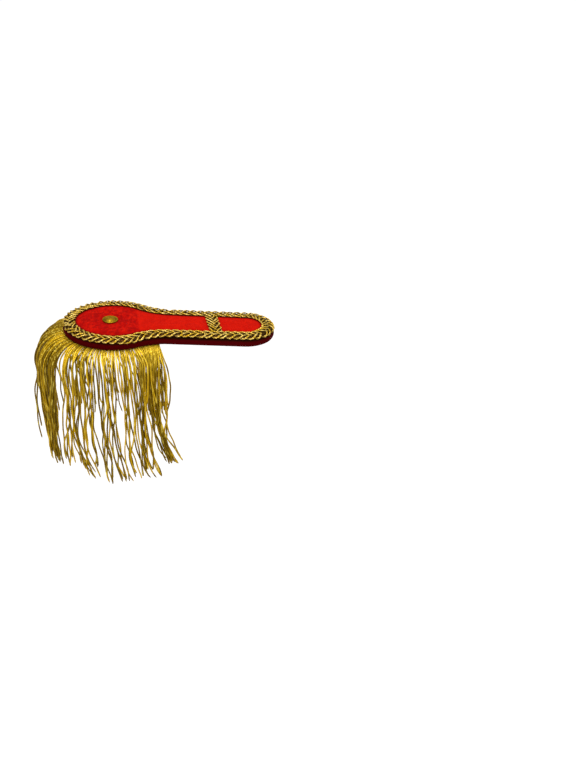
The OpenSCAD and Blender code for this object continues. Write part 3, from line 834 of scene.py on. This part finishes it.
# Each cord drifts and waves a little of its own, more towards its tip, and lies in its own layer
drift_size, start_size, layer_depth = 2.8, 1.5, 1.2
wave_size, wave_fade = 1.9, 1.2
own_drift = random.normal(0, drift_size, cord_count)
own_drift += np.where(stray, random.uniform(-stray_drift, stray_drift, cord_count), 0)
own_start = random.normal(0, start_size, cord_count)
sway = sway + own_drift[:, None] * ease(low, 0.3, 1.0) + own_start[:, None] * ease(low, 0.0, 0.1)
paths += sway[..., None] * axis_side + (clump[:, OUT, None] * ease(low, 0.0, 1.0))[..., None] * axis_out
layer = random.uniform(-layer_depth, layer_depth, cord_count)[:, None]
paths += (layer * ease(low, 0.0, 0.5))[..., None] * outward
for way, size in ((sideways, 1.0), (outward, 0.8)):
    for cycles in (1.1, 2.3, 4.5):
        phase = random.uniform(0, 2 * math.pi, cord_count)[:, None]
        rate = cycles * random.uniform(0.75, 1.3, cord_count)[:, None]
        wave = np.sin(2 * math.pi * rate * low + phase) * size * (wave_size / cycles ** wave_fade)
        paths += (wave * ease(low, 0.0, 0.6))[..., None] * way
# How much thicker or thinner than the others each is, and its last rings, which taper
body_least, body_most = 0.9, 1.08
tip_body, ring_taper = 0.45, 0.25
tip = np.minimum(1, tip_body + (1 - np.linspace(0, 1, cord_rings)) * (cord_rings * ring_taper))[None]
body = random.uniform(body_least, body_most, cord_count)[:, None] * tip
# How dull each is: a share of them much more so. All of them at the round end are painted darker as shade,
# the lower ones most
dull_share, much_duller, bit_duller, end_shade = 0.44, 0.75, 0.25, 0.35
dull = (random.uniform(0, 1, cord_count) < dull_share) * much_duller
dull += random.uniform(0, bit_duller, cord_count)
tone = np.clip(dull + clump[:, SHADED] + end_shade * (1 + under) * at_end, 0, 1)

GILT = (0.58, 0.35, 0.006, 1)
GILT_HIGHLIGHT = (0.95, 0.66, 0.045, 1)
GILT_DULL_AND_SHADE = (0.135, 0.076, 0.0008, 1)
GILT_GLINT = (1.0, 0.80, 0.13, 1)
GILT_GROOVE_SHADE = (0.05, 0.025, 0.0, 1)
thread_pitch = 0.28
cord_finish, add, shade = new_finish(
    "gilt_cord", metallic=0.5, roughness=0.42, specular_ior_level=0.25, specular_tint=(1.0, 0.75, 0.2, 1))
high = fact(add, "root")
dull_and_shade = fact(add, "tone")
where = add("TexCoord", {}, output="Object")
dulled = add("TexNoise", {"Vector": where, "Scale": 55.0, "Detail": 3.0})
# Painted highlight: the cords' heads are blended towards a bright gold
colour = blend_of(add, up_to(add, 0.8, high), GILT, GILT_HIGHLIGHT)
colour = blend_of(add, band(add, dulled, 0.42, 0.68, 0.0, 0.45), colour, GILT_DULL_AND_SHADE)
# The painted highlight on the heads also lessens their dullness
head_highlight = band(add, high, 0.3, 1.0, 1.0, 0.45)
# Painted shade: cords at the round end, the lower ones and the shaded clumps are darkened through their tone
dullness = add("Math", {0: band(add, dull_and_shade, 0.15, 1.0, 0.0, 0.9), 1: head_highlight}, operation="MULTIPLY")
colour = blend_of(add, dullness, colour, GILT_DULL_AND_SHADE)
# Painted glints and painted dark streaks of shade, drawn out along the cords where they hang
hanging = add("Mapping", {0: where, "Scale": (1.0, 1.0, 0.14)})
glints = add("TexNoise", {"Vector": hanging, "Scale": 620.0, "Detail": 1.0})
colour = blend_of(add, band(add, glints, 0.30, 0.46, 0.45, 0.0), colour, GILT_DULL_AND_SHADE)
colour = blend_of(add, band(add, glints, 0.55, 0.68, 0.0, 0.45), colour, GILT_GLINT)
thread = wound(add, thread_pitch)
# Painted shade in the grooves between the wound threads
shade({"Base Color": blend_of(add, band(add, thread, 0.0, 0.5, 0.3, 0.0), colour, GILT_GROOVE_SHADE),
       "Normal": add("Bump", {"Strength": 0.5, "Distance": 0.05 * MM, "Height": thread})})

# Painted highlight: the bright heads of the cords, where they bend over and face the light, fade between
# these places down them, and hardly show at the round end
head_from, head_to, end_fade = 3, 34, 0.95
for name, first, last in (("cords_along_strap", fringe_front, -62.0), ("cords_front", -62.0, -7.0),
                          ("cords_round_end", -7.0, 48.0), ("cords_back", 48.0, fringe_back)):
    mine = (cord_d >= first) & (cord_d < last)
    wide, thick = cord_wide * body[mine], cord_thick * body[mine]
    points, faces, uv = sweep(paths[mine], np.broadcast_to(sideways[mine], paths[mine].shape), wide, thick)
    root = 1 - ease(low[mine] * cord_length, head_from, head_to)
    root = root * (1 - end_fade * at_end[mine])[:, None]
    bunch = build(name, points, faces, {
        "root": np.repeat(root, SIDES), "tone": np.repeat(np.repeat(tone[mine], cord_rings), SIDES)}, uv)
    bunch.data.materials.append(cord_finish)
    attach(bunch, "root")
    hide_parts("cord_fringe")

# ---- Shoulder post ----
# A plain post on a small round plate, turned from steel in one piece and sewn under the strap, out of sight.
# It goes through an eyelet in the coat. Its shape is the solid's own.
STEEL = (0.24, 0.235, 0.22, 1)
STEEL_SCUFFED = (0.42, 0.41, 0.39, 1)
post_finish, add, shade = new_finish("post_steel", metallic=1.0, roughness=0.34)
where = add("TexCoord", {}, output="Object")
scuffs = add("TexNoise", {"Vector": where, "Scale": 900.0, "Detail": 3.0})
shade({"Base Color": blend_of(add, scuffs, STEEL, STEEL_SCUFFED),
       "Roughness": band(add, scuffs, 0.3, 0.7, 0.28, 0.5)})
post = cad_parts["shoulder_post"]
post.data.materials.clear()
post.data.materials.append(post_finish)

# ---- Floor, light and camera ----
# A white floor that glows, well below the fringe, one broad light overhead, a weak one in front, and a pale
# surrounding. They stand in for the photo's white background and soft light from above.
floor_z = -260.0
floor_half = 30000.0
floor = build("floor", np.array([[x, y, floor_z] for x, y in ((-1, -1), (1, -1), (1, 1), (-1, 1))])
              * [floor_half, floor_half, 1], np.array([[0, 1, 2, 3]]))
floor_finish, add, shade = new_finish(
    "white_floor", base_color=(0.15, 0.15, 0.15, 1), roughness=0.9, specular_ior_level=0.0,
    emission_color=(1, 1, 1, 1), emission_strength=0.88)
floor.data.materials.append(floor_finish)


def lamp(name, at, aim, size, power):
    """A round light at one place that shines at another."""
    light = bpy.data.lights.new(name, "AREA")
    light.shape, light.size, light.energy = "DISK", size, power
    made = bpy.data.objects.new(name, light)
    made.location = at
    made.rotation_euler = (Vector(aim) - Vector(at)).to_track_quat("-Z", "Y").to_euler()
    bpy.context.scene.collection.objects.link(made)


lamp("overhead", at=(0.0, -0.15, 1.2), aim=(0.06, 0, -0.02), size=0.7, power=12.5)
lamp("front", at=(-0.7, -1.5, 0.5), aim=(0.06, 0, -0.06), size=0.9, power=5)
world = bpy.data.worlds.new("pale_room")
world.use_nodes = True
world.node_tree.nodes["Background"].inputs["Color"].default_value = (1, 1, 1, 1)
world.node_tree.nodes["Background"].inputs["Strength"].default_value = 1.0
bpy.context.scene.world = world
bpy.context.scene.view_settings.view_transform = "Standard"

# Where the camera stands, how far it leans, and how far right of and above the part's origin it aims
azimuth, elevation, roll = (math.radians(a) for a in (6.793, 26.435, 2.694))
distance = 1.3
aim_right, aim_up = 0.1647, -0.0541
back = Vector((math.sin(azimuth) * math.cos(elevation), -math.cos(azimuth) * math.cos(elevation),
               math.sin(elevation)))
right = Vector((math.cos(azimuth), math.sin(azimuth), 0))
upright = back.cross(right)
aim = aim_right * right + aim_up * upright
camera_data = bpy.data.cameras.new("camera")
camera_data.lens, camera_data.sensor_width = 65.30, 36
camera = bpy.data.objects.new("camera", camera_data)
eye = distance * back
ahead = (aim - eye).normalized()
level_right = ahead.cross(Vector((0, 0, 1))).normalized()
level_up = level_right.cross(ahead)
tilted_right = level_right * math.cos(roll) + level_up * math.sin(roll)
tilted_up = tilted_right.cross(ahead)
camera.matrix_world = Matrix((tilted_right, tilted_up, -ahead)).transposed().to_4x4()
camera.location = eye
camera_data.clip_start, camera_data.clip_end = 0.01, 20
bpy.context.scene.collection.objects.link(camera)
bpy.context.scene.camera = camera
